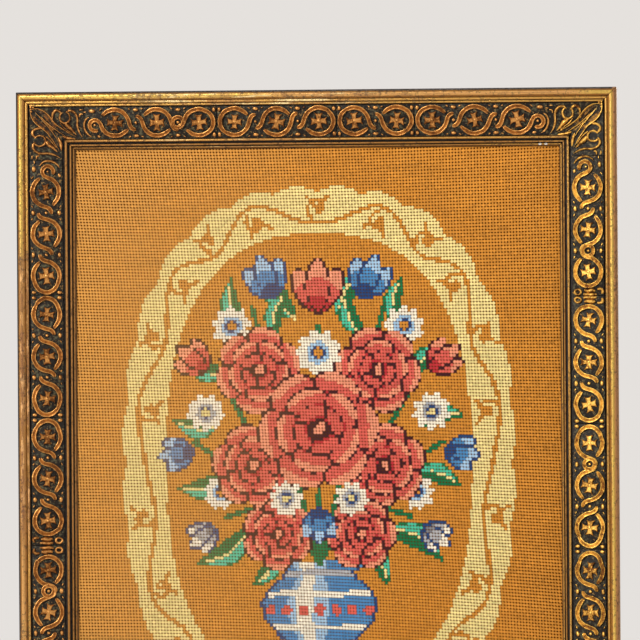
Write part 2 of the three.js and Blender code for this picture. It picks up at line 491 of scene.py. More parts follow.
def gilded_moulding():
    """Gold leaf worn bright on the crests with a painted highlight there, bole where it is worn, and dark
    patina in the grooves, partly painted shade. Painted light also brightens a stretch of the top rail
    and the right rail's inner beads, and painted shade browns the right rail's outer flank.
    """
    gilt = Finish("worn_gilding_and_painted_light")
    crest = gilt.attribute("crest")
    clouds = gilt.noise(38.0, 5.0, 0.6)
    flecks = gilt.noise(900.0, 4.0, 0.7)
    scratches = gilt.noise(160.0, 6.0, 0.7)
    grain = (clouds - 0.5) * 0.5 + (flecks - 0.5) * 0.3
    # edge: patina in the hollows to brown gold on the slopes, partly painted shade.
    edge = gilt.step(crest + grain * 0.5, 0.10, 0.42)
    inward, rightward = gilt.attribute("inward"), gilt.axis("X")
    # Painted light on the inner beads: inner times the place across makes them shine more on the right rail,
    # which faces the key light, and less on the left rail.
    inner = gilt.step(inward, *INNER_BEADS_BEGIN)
    patch = gilt.near(*PALE_PATCH)
    # Painted highlight on a stretch of the top rail.
    painted_highlight_stretch = gilt.near(*HIGHLIGHT_STRETCH)
    rubbed_stretch = gilt.near(*RUBBED_STRETCH)
    # lit and shine: where the leaf shows, partly a painted highlight on the crests.
    lit = crest + grain + inner * rightward * 0.9 + patch * 0.06 + painted_highlight_stretch * 0.12
    shine = gilt.step(lit, 0.62, 1.02)
    worn = gilt.step(scratches * 0.6 + clouds * 0.5 + patch * 0.12 + rubbed_stretch * 0.16, 0.58, 0.74)

    # The leaf: rose or yellow, worn to the bole, with pale streaks of painted highlight along the top rail
    # and worn streaks along the left one.
    # Near the upper left the yellow is partly painted light.
    yellow = gilt.near(*YELLOW_CORNER) + gilt.step(rightward, *YELLOW_RIGHT) * 0.95 + painted_highlight_stretch * 0.5
    leaf = gilt.mix((yellow + (clouds - 0.5)).clamped(), ROSE_GOLD, YELLOW_GOLD)
    leaf = gilt.mix(gilt.step(inward, *FILLETS_BEGIN), leaf, FILLET_GOLD)
    leaf = gilt.mix(worn * 0.7, leaf, WORN_BOLE)
    # Pale streaks in the patch: painted highlight.
    streaks = gilt.step(gilt.bands((0, 0, 0), (40.0, 300.0, 500.0)), 0.52, 0.6)
    leaf = gilt.mix(streaks * patch, leaf, HIGHLIGHT_PALE_GOLD)
    runs = gilt.step(gilt.bands((0, 0, 0), (500.0, 300.0, 70.0)), 0.5, 0.6)
    leaf = gilt.mix(runs * rubbed_stretch * 0.8, leaf, PALE_ROSE)
    leaf = gilt.mix((1 - runs) * rubbed_stretch * 0.6, leaf, WORN_BOLE)

    # Over the patina, partly painted shade: brown gold on the slopes, leaf on the crests with a painted
    # highlight, then pits and two chips.
    tint = gilt.mix(edge, PATINA, BROWN_GOLD)
    tint = gilt.mix(shine, tint, leaf)
    # Painted shade: the right rail's outer flank, turned away from the key light, is brown.
    tint = gilt.mix(gilt.step(rightward, *SHADED_RIGHT_FLANK) * 0.8, tint, FLANK_SHADE_BROWN)
    pits = gilt.step(gilt.noise(420.0, 5.0, 0.75) + (clouds - 0.5) * 0.3, 0.55, 0.6)
    tint = gilt.mix(pits * 0.6, tint, PATINA)
    chips = gilt.near(*LEFT_CHIP) + gilt.near(*RIGHT_CHIP)
    tint = gilt.mix(chips, tint, GESSO)
    gilt.set(
        Base_Color=tint,
        Metallic=(shine * 0.55 + edge * 0.35 - worn * 0.3 - pits * 0.4 - chips).clamped(),
        Roughness=(0.52 - shine * 0.2 + (flecks - 0.5) * 0.25 + pits * 0.3).clamped(),
    )
    gilt.bump(scratches * 0.6 + flecks * 0.4 - pits, 0.00016)
    return gilt.material


def bronze_side():
    """Brown painted outer sides of the rails."""
    paint = Finish("brown_side")
    streaks = paint.noise(60.0, 4.0, 0.6)
    tint = paint.mix(paint.step(streaks, 0.35, 0.7), SIDE_BROWN, SIDE_TAN)
    paint.set(Base_Color=tint, Metallic=0.3, Roughness=0.5)
    paint.bump(streaks, 0.0002)
    return paint.material


WOOD_BROWN = colour(150, 112, 72)
WOOD_PALE = colour(186, 150, 104)
WOOD_PORE = colour(104, 74, 46)


def bare_wood(upright):
    """Plain softwood of the back, its grain along the rail."""
    wood = Finish("bare_wood_upright" if upright else "bare_wood")
    along = (60.0, 60.0, 3.0) if upright else (3.0, 60.0, 60.0)
    grain = wood.noise(6.0, 6.0, 0.6, wood.here(scale=along))
    pores = wood.noise(40.0, 3.0, 0.6, wood.here(scale=along))
    tint = wood.mix(wood.step(grain, 0.3, 0.7), WOOD_BROWN, WOOD_PALE)
    tint = wood.mix(wood.step(pores, 0.55, 0.75) * 0.4, tint, WOOD_PORE)
    wood.set(Base_Color=tint, Roughness=0.75)
    wood.bump(grain + pores * 0.5, 0.0003)
    return wood.material


GROUND_DARK = colour(22, 15, 7)
GROUND_OLIVE = colour(78, 74, 52)
GROUND_SPECK = colour(158, 122, 66)
RELIEF_BROWN = colour(96, 54, 20)
RELIEF_GOLD = colour(158, 94, 34)
# Brighter gold for the right rail's ornament: painted light.
RELIEF_GOLD_LIT = colour(214, 148, 52)
# Rim colours: worn bright, and partly a painted highlight.
RELIEF_RIM = colour(214, 154, 84)
RELIEF_RIM_LIT = colour(252, 200, 98)
# Metres to the right of the middle, from where the ornament is brighter: painted light, as the right rail's
# band faces the key light.
RELIEF_LIT_RIGHT = (0.15, 0.17)


def gilded_relief_and_painted_light():
    """Bronze gold on the raised ornament, worn bright on its rims with a painted highlight there,
    brighter on the right rail as painted light, over a dark speckled ground.
    """
    relief = Finish("gilded_relief_and_painted_light")
    height = relief.attribute("relief")
    rubbed = relief.attribute("rubbed")
    clouds = relief.noise(45.0, 4.0, 0.6)
    spots = relief.noise(420.0, 4.0, 0.65)
    flecks = relief.noise(900.0, 4.0, 0.7)
    raised = relief.step(height + (spots - 0.5) * 0.9, 0.35, 0.95)
    # bright: rims worn bright, and partly a painted highlight.
    bright = relief.step(rubbed + (clouds - 0.5) * 0.9 + (spots - 0.5) * 1.1, 0.5, 0.95)
    ground = relief.mix(relief.step(spots, 0.5, 0.66), GROUND_DARK, GROUND_OLIVE)
    specks = relief.step(relief.noise(650.0, 3.0, 0.6), 0.6, 0.68)
    ground = relief.mix(specks * 0.6, ground, GROUND_SPECK)
    # Painted light: the right rail's ornament is brighter.
    lit_right = relief.step(relief.axis("X"), *RELIEF_LIT_RIGHT)
    low_gold = relief.mix(lit_right, RELIEF_GOLD, RELIEF_GOLD_LIT)
    high_gold = relief.mix(lit_right, RELIEF_RIM, RELIEF_RIM_LIT)
    gold = relief.mix(relief.step(spots * 0.6 + clouds * 0.4, 0.38, 0.62), RELIEF_BROWN, low_gold)
    gold = relief.mix(bright * 0.9, gold, high_gold)
    relief.set(
        Base_Color=relief.mix(raised, ground, gold),
        Metallic=raised * 0.72,
        Roughness=(0.6 - bright * 0.2 + (flecks - 0.5) * 0.2).clamped(),
        Specular_IOR_Level=0.25,
    )
    relief.bump(flecks * 0.6 + spots, 0.0003)
    return relief.material


# ------------------------------------------------------------------ rails

HAIR = 0.02


def over(moulding, gold, outer_gold, inner_gold, falloff=1.0):
    """Points over a round moulding from its outer side to its inner side, with how golden they are:
    partly wear and patina, partly a painted highlight on the crown and painted shade down the sides.
    """
    at, height, radius, steps = moulding
    for k in range(steps + 1):
        turn = math.pi * (1 - k / steps)
        up = math.sin(turn)
        side_gold = outer_gold if k < steps / 2 else inner_gold
        golden = side_gold + (gold - side_gold) * up ** falloff
        yield at + radius * math.cos(turn), height + radius * up, golden


def rail_section(second_fillet):
    """Outline of a rail: distance in from the outer edge, height above the back, share of gold."""
    points = [(0, 0, 0), (0, SHOULDER * 0.5, 0), (0, SHOULDER, 0.1), *over(TORUS, 1.05, 0.12, 0.45, 5.0)]
    points += [TORUS_GROOVE, *over(FILLET, 1.0, 0.45, 0.2)]
    start = BAND_OUTER
    if second_fillet:
        points += [FILLET_GROOVE, *over(SECOND_FILLET, 1.0, 0.35, 0.15)]
        start = SECOND_FILLET[0] + SECOND_FILLET[2] + HAIR
    points += [(start, band_height(start), 0), (BAND_INNER - HAIR, BAND_INNER_HEIGHT, 0)]
    lip = ((RAIL_WIDTH, LIP_EDGE, 0.2), (RAIL_WIDTH, RABBET_DEPTH, 0))
    for bead, golds, beyond in zip(INNER_BEADS, BEAD_GOLD, (*BEAD_GROOVES, lip)):
        points += [*over(bead, *golds), *beyond]
    points += [(BACK_WIDTH, RABBET_DEPTH, 0), (BACK_WIDTH, 0, 0)]
    return points


RAIL_STEP = 5.0
HAND_WEAR = 0.12
WEAR_LENGTH = 14.0


def make_rail(name, turn, materials):
    """One mitred rail: its section drawn, extruded in short lengths and drawn in at the mitres."""
    is_across = turn % 2 == 0
    length = OUTER_WIDTH if is_across else OUTER_HEIGHT
    section = rail_section(second_fillet=is_across)
    steps = round(length / RAIL_STEP)
    outline = {"vertices": len(section), "fill_type": "NGON"}
    rail = started(f"moulding_{name}", bpy.ops.mesh.primitive_circle_add, **outline)
    move_to(rail, [(inward, height, 0) for inward, height, _ in section])
    edit(rail, lambda: bpy.ops.mesh.extrude_repeat(steps=steps, offset=(0, 0, 1)))
    points = places(rail)
    inward, height, station = points.T
    drawn = np.array(section)
    nearest = np.argmin((inward[:, None] - drawn[:, 0]) ** 2 + (height[:, None] - drawn[:, 1]) ** 2, axis=1)
    crest = drawn[nearest, 2]
    half = length / 2 - inward - GAP / math.sqrt(2)
    along = (2 * station / steps - 1) * half
    wave = [noise.noise(Vector((x / WEAR_LENGTH, y, turn * 7.3))) for x, y in zip(along, inward)]
    move_to(rail, np.column_stack((along, -inward, height + HAND_WEAR * crest * np.array(wave))))
    note(rail, "crest", crest)
    note(rail, "inward", inward)
    edit(rail, outward)
    rail.data.transform(rail_matrix(turn))
    for material in materials:
        rail.data.materials.append(material)
    for face in rail.data.polygons:
        middle = face.center / MM
        faces_back = face.normal.y > 0.5
        in_rabbet = -middle.y < RABBET_DEPTH + 0.1
        beyond = max(abs(middle.x) - OUTER_WIDTH / 2, abs(middle.z - MIDDLE_Z) - OUTER_HEIGHT / 2)
        is_side = beyond > -0.05
        face.material_index = 1 if is_side else 2 if faces_back or in_rabbet else 0
    finish(rail, f"rail_{name}", smooth_angle=30)


# ------------------------------------------------------------------ ornament

# Sections: across, up, how bright the gold is there, worn bright and partly a painted highlight.
STRAND_SECTION = (
    (-1.65, -0.5, 0), (1.65, -0.5, 0), (1.6, 0.8, 0.3), (1.4, 1.45, 0.8), (1.1, 1.62, 0.9), (0.65, 1.45, 0.4),
    (0, 1.4, 0.25), (-0.65, 1.45, 0.4), (-1.1, 1.62, 0.9), (-1.4, 1.45, 0.8), (-1.6, 0.8, 0.3),
)
RIDGE_SECTION = (
    (-1.0, -0.5, 0), (1.0, -0.5, 0), (0.95, 0.7, 0.3), (0.5, 1.45, 0.7), (0, 1.7, 0.85), (-0.5, 1.45, 0.7),
    (-0.95, 0.7, 0.3),
)

BLADE_SECTION = (
    (1.5, -0.5, 0), (-1.5, -0.5, 0), (-1.5, 1.0, 0.4), (-1.25, 1.6, 0.9), (-0.95, 1.6, 0.9), (-0.6, 0.7, 0.1),
    (0.2, 0.35, 0), (1.1, 0.5, 0.1), (1.4, 0.6, 0.3),
)

# A round is two strands, each half a turn from the other. A strand starts tucked in on one side,
# runs under the cross and ends in a hook, a coil or the far side of a closed ring. Points are x, y,
# scale, and a height where a path sinks or rises.
TUCKED_START = [(-9.3, -4.5, 0.4, -0.1), (-8.3, -5.4, 0.75), (-6.6, -6.7, 0.95)]
CLOSED_START = [(-6.8, -6.9, 0.7, -0.1)]
UNDER = [(-4.4, -8.0, 1.0), (0, -8.95, 1.0), (4.4, -7.9, 1.0)]
HOOK = [(7.4, -5.6, 1.0), (9.1, -3.0, 1.0), (10.0, -0.5, 0.98), (10.7, 1.7, 0.96),
        (11.9, 3.4, 0.96), (13.3, 4.2, 0.92), (14.4, 4.4, 0.66), (15.0, 4.4, 0.3)]
RING_RADIUS = 8.95
EYELET = (13.7, -1.2)
EYELET_RADIUS = 3.75
CRESCENT = [(17.6, 4.0, 0.45), (19.4, 2.6, 0.7), (20.6, 0.2, 0.8), (20.75, -2.6, 0.8),
            (19.8, -5.4, 0.8), (18.0, -7.8, 0.65), (16.0, -9.2, 0.4)]


def round_eyelet(radius, scale, degrees):
    """Points on a circle about the eyelet."""
    x, y = EYELET
    turns = [math.radians(angle) for angle in degrees]
    return [(x + radius * math.cos(turn), y + radius * math.sin(turn), scale) for turn in turns]


def strand_end(kind):
    """The end of a strand. A number is how far a closed ring reaches."""
    if kind == "hook":
        return HOOK
    if kind == "coil":
        lead = [(7.4, -5.6, 1.0), (8.9, -3.2, 0.98)]
        tail = round_eyelet(EYELET_RADIUS, 0.5, (-118,))
        return lead + round_eyelet(EYELET_RADIUS, 0.92, (160, 120, 80, 40, 0, -40, -75, -100)) + tail
    stations = ((-42, 1.0), (-22, 1.0), (0, 1.0), (22, 1.0), (42, 0.95), (60, 0.6))
    turns = [(math.radians(angle), scale) for angle, scale in stations]
    return [(kind * math.cos(turn), RING_RADIUS * math.sin(turn), scale) for turn, scale in turns]


def make_strand(start_is_closed, end):
    start = CLOSED_START if start_is_closed else TUCKED_START
    return swept("strand", start + UNDER + strand_end(end), STRAND_SECTION)


def make_cross():
    """A cross with four flared, notched arms and a boss in the middle."""
    arm = ((1.5, -1.5), (3.4, -1.7), (5.5, -2.9), (4.9, -0.7), (4.8, 0.6), (5.6, 2.6), (3.4, 1.7))
    outline = []
    for k in range(4):
        turn = Matrix.Rotation(k * math.pi / 2, 2)
        outline += [tuple(turn @ Vector(point)) for point in arm]
    cross = outline_plate("cross", outline, 1.4)
    for face in cross.data.polygons:
        face.select = face.normal.z > 0.9
    pick(cross)
    bpy.ops.object.mode_set(mode="EDIT")
    bpy.ops.mesh.select_mode(type="FACE")
    bpy.ops.mesh.inset(thickness=0.5, depth=0.55)
    bpy.ops.object.mode_set(mode="OBJECT")
    cross.data.transform(Matrix.Translation((0, 0, -0.5)))
    height = places(cross)[:, 2]
    # Higher parts are brighter: worn bright, and partly a painted highlight.
    note(cross, "rubbed", 0.25 * (height > 0.5) + 0.45 * (height > 1.2))
    return joined("cross", [cross, pellet("boss", (0, 0, 1.1), (1.2, 1.2, 0.7))])


def make_gap_pellets():
    """What lies between two rounds: a pellet in the middle, a drop and two dashes on each side."""
    things = [pellet("eye", (0, 0, 0.3), (1.15, 1.15, 1.0), segments=8)]
    for side in (-1, 1):
        things.append(pellet("drop", (0, side * 8.6, 0.3), (2.0, 1.25, 1.2)))
        for way in (-1, 1):
            place = (way * 4.3, side * 9.3, 0.2)
            things.append(pellet("dash", place, (1.3, 0.5, 0.8), way * side * 0.5, 6, 4))
    return joined("gap_pellets", things)


def make_loop():
    """The small ring where two rounds' strands meet."""
    radius, scale, lift = 3.5, 0.85, 0.2
    turns = [math.radians(angle) for angle in range(0, 361, 40)]
    path = [(radius * math.cos(turn), radius * math.sin(turn), scale, lift) for turn in turns]
    return swept("loop", path, STRAND_SECTION)


def make_clasp():
    """What fills a wide joint: a hook, two thick bars and a small ring, past the last round's ring."""
    hook = [(11.6, 5.9, 0.7), (11.3, 7.9, 1.0), (12.5, 9.6, 1.1), (14.5, 9.2, 0.8)]
    bars = (
        [(12.5, 4.6, 0.9), (12.2, 2.4, 1.5), (12.6, 0.0, 1.5), (12.2, -2.8, 0.9)],
        [(15.1, 5.4, 0.7), (14.9, 2.8, 1.2), (15.2, 0.2, 1.3), (14.8, -3.4, 0.8)],
    )
    turns = [math.radians(angle) for angle in range(20, 381, 45)]
    ring = [(13.4 + 1.7 * math.cos(turn), -7.1 + 2.1 * math.sin(turn), 0.8) for turn in turns]
    return joined("clasp", [swept("clasp", path, RIDGE_SECTION) for path in (hook, *bars, ring)])


def strip_layout(rounds, joints, length, pitch):
    """Each strip's two ends, its rounds' middles, and a coil or the distance over a joint at each end."""
    between = sum(count - 1 for count in rounds) * pitch
    distance = (length - between - sum(joints)) / 2
    start = CORNER_REACH
    for i, count in enumerate(rounds):
        spots = [distance + k * pitch for k in range(count)]
        is_last = i == len(joints)
        end = length - CORNER_REACH if is_last else spots[-1] + joints[i] / 2
        kinds = ["coil" if i == 0 else joints[i - 1], "coil" if is_last else joints[i]]
        yield start + GAP / 2, end - GAP / 2, spots, kinds
        distance = spots[-1] + (0 if is_last else joints[i])
        start = end


# How unevenly the mould was cut: the lean of strands and crosses, in radians, and their scales
# along, across and up.
STRAND_LEAN = 0.03
STRAND_SIZES = ((0.95, 1.01), (0.95, 1.01), (0.8, 1.08))
CROSS_LEAN = 0.13
CROSS_SIZES = ((0.9, 1.06), (0.9, 1.06), (0.85, 1.05))

WIDE_JOINT_REACH = 9.2
RING_CLEARANCE = 1.95
JOINT_DROP_INSET = 1.8
JOINT_DROP_ACROSS = 8.4


def strip_plate(low, high):
    """The thin plate under a strip, its edges eased."""
    plate = started("plate", bpy.ops.mesh.primitive_cube_add, size=1)
    middle = Matrix.Translation(((low + high) / 2, 0, -PLATE_THICKNESS / 2))
    plate.data.transform(middle @ Matrix.Diagonal((high - low, PLATE_WIDTH, PLATE_THICKNESS, 1)))
    return edit(plate, lambda: bpy.ops.mesh.bevel(offset=0.3, segments=2))


def end_reach(kind):
    """How a strip's last strand ends: in a coil, or in a closed ring that reaches this far."""
    if kind == "coil":
        return kind
    return WIDE_JOINT_REACH if kind > WIDE_JOINT else kind / 2 - RING_CLEARANCE


def uneven(matrix, draw, lean, sizes):
    """The same place with a random lean and size."""
    turn = Matrix.Rotation(draw.normal(0, lean), 4, "Z")
    return matrix @ turn @ Matrix.Diagonal((*(draw.uniform(*span) for span in sizes), 1))


def round_parts(at, mirror, low_end, high_end, draw, kit):
    """One round's two strands and its cross."""
    half_turn = Matrix.Rotation(math.pi, 4, "Z")
    # The lower strand ends on the high side, and the upper one, half a turn round, on the low side.
    for start, end, swing in ((low_end, high_end, Matrix()), (high_end, low_end, half_turn)):
        key = (isinstance(start, float), end)
        if key not in kit["strands"]:
            kit["strands"][key] = make_strand(*key)
        matrix = uneven(at @ mirror @ swing, draw, STRAND_LEAN, STRAND_SIZES)
        yield turned_copy(kit["strands"][key], matrix)
    yield turned_copy(kit["cross"], uneven(at, draw, CROSS_LEAN, CROSS_SIZES))


def end_parts(at, kind, way, hand, kit):
    """What finishes a strip past its first or last round."""
    flip = Matrix.Diagonal((way, 1, 1, 1))
    if kind == "coil":
        turned_over = Matrix.Diagonal((way, hand * way, 1, 1))
        yield from (turned_copy(part, at @ turned_over) for part in kit["round_eyelet"])
        yield from (turned_copy(drop, at @ flip) for drop in kit["eyelet_drops"])
    elif kind > WIDE_JOINT:
        yield turned_copy(kit["clasp"], at @ flip)
    else:
        for side in (-1, 1):
            along = way * (kind / 2 - JOINT_DROP_INSET)
            beside = Matrix.Translation((along, side * JOINT_DROP_ACROSS, 0))
            yield turned_copy(kit["joint_drop"], at @ beside)


def make_strip(name, turn, hand, bounds, spots, kinds, kit):
    """One moulded strip. Bounds and spots are along the rail, kinds tell how each end finishes."""
    low, high = bounds
    things = [strip_plate(low, high)]
    draw = np.random.default_rng(round(5000 + 10 * low + turn))
    first_hand = hand
    for k, spot in enumerate(spots):
        mirror = Matrix.Diagonal((1, hand, 1, 1))
        low_end = end_reach(kinds[0]) if k == 0 else "hook"
        high_end = end_reach(kinds[1]) if k == len(spots) - 1 else "hook"
        things += round_parts(Matrix.Translation((spot, 0, 0)), mirror, low_end, high_end, draw, kit)
        if high_end == "hook":
            step = Matrix.Translation(((spot + spots[k + 1]) / 2, 0, 0))
            things.append(turned_copy(kit["gap"], step @ mirror))
            if LOOPED_GAPS.get(name) == k:
                things.append(turned_copy(kit["loop"], step))
                hand = -hand
    things += end_parts(Matrix.Translation((spots[0], 0, 0)), kinds[0], -1, first_hand, kit)
    things += end_parts(Matrix.Translation((spots[-1], 0, 0)), kinds[1], 1, hand, kit)
    strip = joined(name, things)
    cast(strip)
    middle = ACROSS_TOP if turn % 2 == 0 else ACROSS_SIDE
    seat(strip, lambda p: middle - p[:, 1], rail_matrix(turn) @ Matrix.Translation((0, -middle, 0)))
    return strip


def make_strips(kit, material):
    """The strips of all four rails."""
    for name, (turn, sense, rounds, joints, hands) in RAILS.items():
        is_across = turn % 2 == 0
        length = OUTER_WIDTH if is_across else OUTER_HEIGHT
        pitch = PITCH_ACROSS if is_across else PITCH_UPRIGHT
        for i, (start, end, spots, kinds) in enumerate(strip_layout(rounds, joints, length, pitch)):
            bounds = sorted(sense * (edge - length / 2) for edge in (start, end))
            along = sorted(sense * (spot - length / 2) for spot in spots)
            place = f"{name}_{i + 1}"
            strip = make_strip(f"ornament_{place}", turn, hands[i], bounds, along, kinds[::sense], kit)
            finish(strip, f"strip_{place}", material)


# ------------------------------------------------------------------ corner ornaments

# One half of a corner, and its arm: in from the side, down from the top, scale, and a height where
# it isn't 0. The other half is its mirror image in the mitre.

CORNER_BLADES = (
    # The leaf's outer blade, from its pinched tip to its foot beside the inner corner.
    ((10.0, 12.2, 0.5, 0.2), (13.0, 11.8, 0.7), (16.6, 12.8, 0.95), (20.4, 15.8, 1.15),
     (23.2, 19.4, 1.15), (26.2, 22.6, 1.0), (30.2, 25.4, 0.9), (35.0, 28.2, 0.7), (39.8, 30.4, 0.35)),
    # Its inner blade.
    ((12.4, 14.2, 0.4, -0.1), (16.2, 17.6, 0.7, -0.1), (20.0, 21.2, 0.85, -0.1), (24.0, 24.6, 0.85),
     (28.4, 27.6, 0.8), (32.0, 29.6, 0.5)),
)
CORNER_RIDGES = (
    # A thin rib beside the middle of the leaf, and the wedge beside the inner corner.
    ((15.0, 15.6, 0.3), (19.0, 20.0, 0.4), (23.6, 24.6, 0.45), (27.8, 28.4, 0.35)),
    ((30.4, 29.4, 0.5), (32.8, 30.4, 1.1), (36.0, 31.0, 1.0), (39.4, 31.4, 0.4)),
    # The lobe that springs from the blade and curls into the volute.
    ((24.2, 20.0, 0.8), (24.3, 16.0, 0.85), (25.6, 13.1, 0.95), (27.6, 12.3, 1.0),
     (29.4, 13.2, 0.9), (30.4, 14.6, 0.5)),
    # The lobe on the volute's far side, which runs down round the eyelet.
    ((33.6, 14.0, 0.55), (35.4, 12.8, 0.95), (38.2, 13.1, 1.0), (40.4, 15.4, 0.9),
     (41.2, 18.8, 0.8), (41.0, 22.4, 0.8), (42.0, 26.6, 0.75), (44.2, 30.4, 0.4)),
    # The volute's ring.
    ((30.8, 14.0, 0.6), (29.5, 15.6, 0.7), (29.2, 17.9, 0.75), (30.4, 20.0, 0.8), (32.5, 21.0, 0.9),
     (34.7, 20.2, 0.9), (35.9, 18.1, 0.8), (35.9, 15.6, 0.7), (34.6, 13.8, 0.6)),
    # The tail under the ring, and the line beside it.
    ((33.0, 21.6, 1.1), (35.2, 23.2, 1.5), (37.4, 25.8, 1.1), (40.2, 28.8, 0.4)),
    ((29.4, 20.8, 0.5), (31.8, 23.6, 0.6), (34.4, 25.8, 0.55), (37.6, 28.2, 0.4)),
    # Short pieces by the outer moulding.
    ((42.6, 16.8, 0.5), (43.0, 15.2, 0.75), (44.8, 14.9, 0.6)),
    ((42.6, 12.0, 0.5), (43.8, 12.0, 0.6), (45.0, 12.0, 0.4)),
)
TIP_DROPS = ((10.0, 11.4, 0.8), (10.3, 13.0, 0.7))


def make_corner(name, turn, kit, material):
    """A corner: two plates that meet on the mitre, a ribbed leaf over it, and a volute on each arm."""
    across_x, across_z = (ACROSS_TOP, ACROSS_SIDE) if turn % 2 == 0 else (ACROSS_SIDE, ACROSS_TOP)
    things = []
    half = PLATE_WIDTH / 2
    reach = CORNER_REACH - GAP / 2
    for across, other, swap in ((across_x, across_z, False), (across_z, across_x, True)):
        near, far = across - half, across + half
        start = max(near, other - half)
        outline = [(start, start), (far, far), (reach, far), (reach, near)]
        if start > near:
            outline.append((start, near))
        if swap:
            outline = [(b, a) for a, b in outline]
        plate = outline_plate("plate", [(a, -b) for a, b in outline], PLATE_THICKNESS)
        plate.data.transform(Matrix.Translation((0, 0, -PLATE_THICKNESS)))
        things.append(plate)
    swap_arms = Matrix(((0, -1, 0, 0), (-1, 0, 0, 0), (0, 0, 1, 0), (0, 0, 0, 1)))
    for across, matrix in ((across_x, Matrix()), (across_z, swap_arms)):
        shift = matrix @ Matrix.Translation((0, ACROSS_TOP - across, 0))
        things += [turned_copy(part, shift) for part in kit["corner_parts"]]
    corner = joined(name, things)
    cast(corner)
    seat(corner, lambda p: np.minimum(p[:, 0], -p[:, 1]), corner_matrix(turn))
    finish(corner, name.replace("leaf", "corner"), material)


def make_corner_parts():
    """The leaf's half and the volute of one arm, in the corner's own frame."""
    parts = [
        swept("ridge", [(x, -y, *rest) for x, y, *rest in path], section)
        for paths, section in ((CORNER_BLADES, BLADE_SECTION), (CORNER_RIDGES, RIDGE_SECTION))
        for path in paths
    ]
    parts += [pellet("tip", (x, -y, 0.4), (size, size, 1.3), segments=8) for x, y, size in TIP_DROPS]
    return parts


def make_kit():
    """The shapes that the ornament repeats, each modelled once."""
    return {
        "strands": {},
        "cross": make_cross(),
        "gap": make_gap_pellets(),
        "loop": make_loop(),
        "clasp": make_clasp(),
        "joint_drop": pellet("drop", (0, 0, 0.3), (1.3, 1.7, 1.2)),
        "round_eyelet": [
            pellet("eyelet", (*EYELET, 0.2), (1.0, 1.0, 1.0), segments=8),
            swept("crescent", CRESCENT, RIDGE_SECTION),
        ],
        "eyelet_drops": [
            pellet("drop", (15.3, 8.0, 0.3), (2.3, 1.4, 1.2)),
            pellet("drop", (11.2, -8.8, 0.2), (1.6, 1.0, 1.0), 0.3),
            pellet("dash", (9.6, 9.0, 0.2), (1.7, 0.5, 0.9), -0.7, 6, 4),
            pellet("dash", (20.0, 7.4, 0.2), (1.4, 0.55, 0.9), 0.0, 6, 4),
        ],
        "corner_parts": make_corner_parts(),
    }


def kit_pieces(kit):
    for value in kit.values():
        if isinstance(value, dict):
            yield from value.values()
        elif isinstance(value, list):
            yield from value
        elif isinstance(value, bpy.types.Object):
            yield value


# ------------------------------------------------------------------ yarns and their chart

YARNS = {
    "ochre": colour(202, 132, 46),
    "cream": colour(232, 208, 136),
    "crimson": colour(178, 44, 48),
    "coral": colour(214, 92, 78),
    "salmon": colour(232, 146, 112),
    "maroon": colour(66, 26, 30),
    "navy": colour(38, 66, 112),
    "blue": colour(74, 130, 176),
    "sky": colour(160, 190, 214),
    "white": colour(238, 226, 202),
    "grey": colour(124, 120, 122),
    "silver": colour(172, 170, 170),
    "green": colour(26, 108, 62),
    "turquoise": colour(74, 182, 146),
}
YARN_NAMES = list(YARNS)
# The tint the yarns turn towards on the left.
PALE_LEFT_TINT = colour(178, 142, 84)

STITCH_PITCH = 25.4 / 12
SIGHT_TOP = OUTER_HEIGHT / 2 - RAIL_WIDTH
SIGHT_HALF_WIDTH = OUTER_WIDTH / 2 - RAIL_WIDTH
SIGHT_HEIGHT = 2 * SIGHT_TOP


